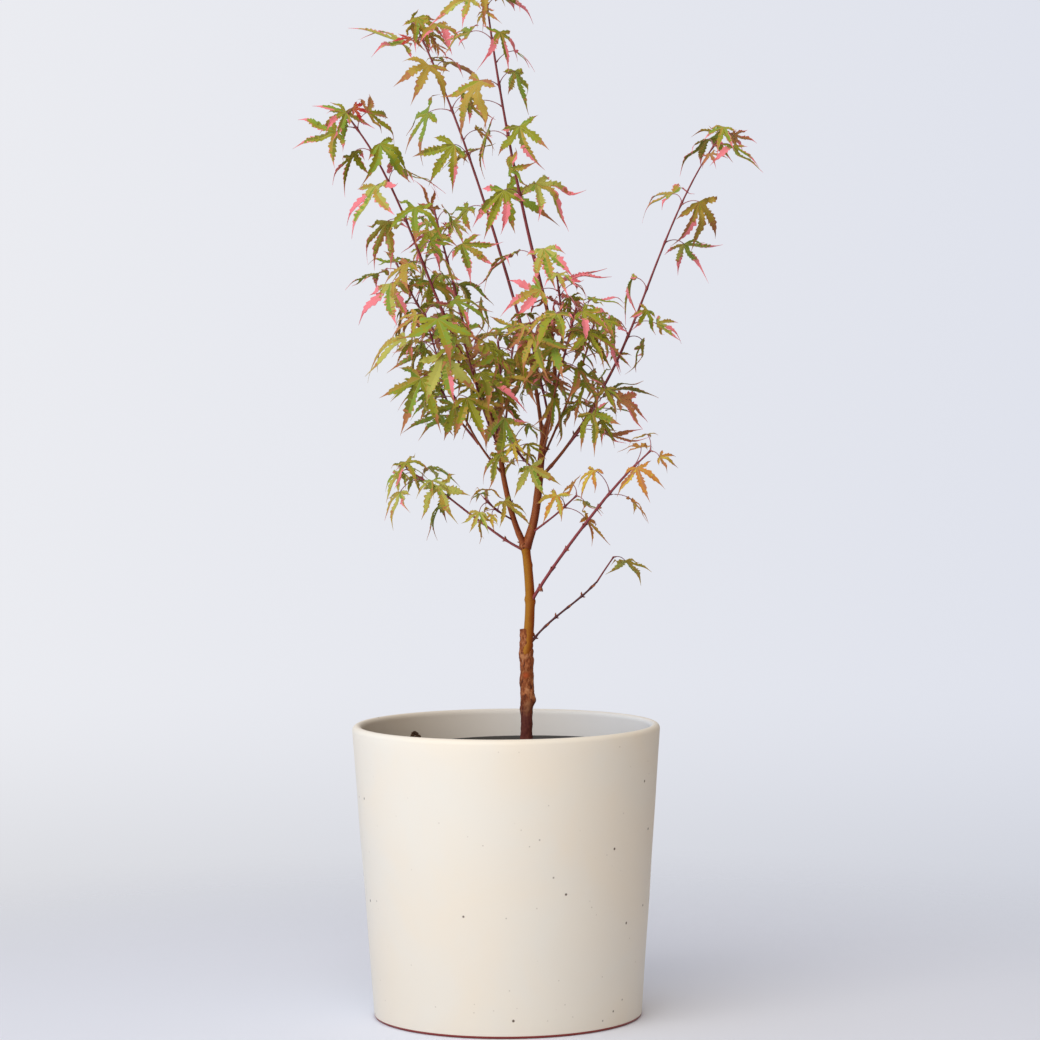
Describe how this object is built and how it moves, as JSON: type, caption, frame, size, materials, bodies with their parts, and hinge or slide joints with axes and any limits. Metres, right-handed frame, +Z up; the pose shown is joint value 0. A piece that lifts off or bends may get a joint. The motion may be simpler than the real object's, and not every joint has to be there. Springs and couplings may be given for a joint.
{
  "type": "potted japanese maple",
  "caption": "Young airy Japanese maple on a slim grafted trunk, green leaves edged in pink, in a tall tapered planter of speckled cream stoneware.",
  "frame": {"origin": "centre of the planter's flat underside, where it stands on the ground", "axes": "+Z up along the planter's axis, +X to the right and -Y towards the viewer of the reference view"},
  "size_m": [0.3743, 0.25, 0.8401],
  "materials": {
    "planter_glaze": "matte speckled stoneware glaze",
    "nursery_plastic": "moulded black",
    "potting_soil": "crumbly",
    "old_bark": "rough bark",
    "young_bark": "smooth young bark",
    "foliage": "satin leaf",
    "foliage_orange": "satin leaf"
  },
  "bodies": {
    "root": {"planter": "planter_glaze", "nursery_pot": "nursery_plastic", "soil": "potting_soil", "trunk": "old_bark", "leader_right": "old_bark", "leader_left": "old_bark", "bough_tall_centre": "young_bark", "bough_tall_left": "young_bark", "bough_far_left": "young_bark", "bough_inner_left": "young_bark", "bough_low_left": "young_bark", "bough_right": "young_bark", "bough_front": "young_bark", "bough_back": "young_bark", "bough_back_right": "young_bark", "bough_lower_right": "young_bark", "bough_lowest_right": "young_bark", "bough_lowest_left": "young_bark", "leaves_tall_centre": "foliage", "leaves_tall_left": "foliage", "leaves_far_left": "foliage", "leaves_inner_left": "foliage", "leaves_low_left": "foliage", "leaves_right": "foliage", "leaves_front": "foliage", "leaves_back": "foliage", "leaves_back_right": "foliage", "leaves_lower_right": "foliage_orange", "leaves_lowest_right": "foliage", "leaves_lowest_left": "foliage", "leaves_upright": "foliage", "leaves_inner_front": "foliage", "leaves_pink": "foliage", "leaves_centre": "foliage", "leaves_mid_left": "foliage", "leaves_mid_low": "foliage", "leaves_mid_front": "foliage", "leaves_mid_right": "foliage", "leaves_fork_right": "foliage", "leaves_fork_left": "foliage"}
  },
  "joints": []
}
